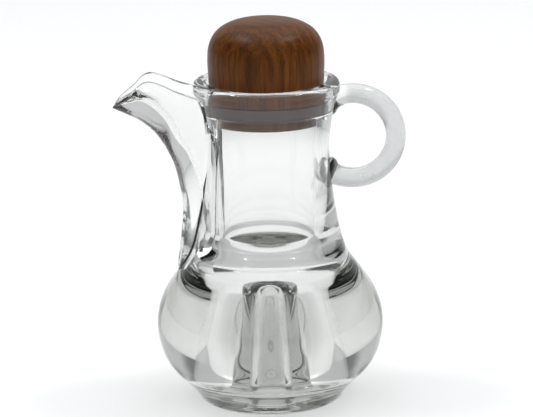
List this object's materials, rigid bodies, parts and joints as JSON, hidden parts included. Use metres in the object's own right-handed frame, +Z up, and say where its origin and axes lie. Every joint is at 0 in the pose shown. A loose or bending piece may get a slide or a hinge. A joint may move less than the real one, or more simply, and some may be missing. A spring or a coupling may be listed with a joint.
{
  "type": "stoppered glass table cruet",
  "caption": "Clear glass oil or vinegar cruet with a beak spout, a glass ring handle and a turned wooden stopper with a soft seal.",
  "frame": {"origin": "centre of the foot, on the surface that the bottle stands on", "axes": "+Z up along the bottle's axis, +X towards the ring handle, -X towards the spout"},
  "size_m": [0.1227, 0.0964, 0.1631],
  "materials": {
    "bottle_glass": "clear, fire polished",
    "handle_glass": "clear, fire polished",
    "seal": "soft, slightly translucent grey",
    "teak": "oiled satin",
    "dowel_wood": "plain turned"
  },
  "bodies": {
    "bottle": {"bottle_body": "bottle_glass", "pouring_spout": "bottle_glass", "ring_handle": "handle_glass"},
    "seal": {"stopper_seal": "seal"},
    "stopper": {"stopper_knob": "teak", "stopper_plug": "teak", "stopper_dowel": "dowel_wood"}
  },
  "joints": [
    {"name": "stopper_lift", "type": "slide", "parent": "bottle", "child": "seal", "axis": [0, 0, 1], "range_m": [0, 0.042]},
    {"name": "stopper_turn", "type": "hinge", "parent": "seal", "child": "stopper", "pos_m": [0, 0, 0.1278], "axis": [0, 0, 1], "continuous": true}
  ]
}
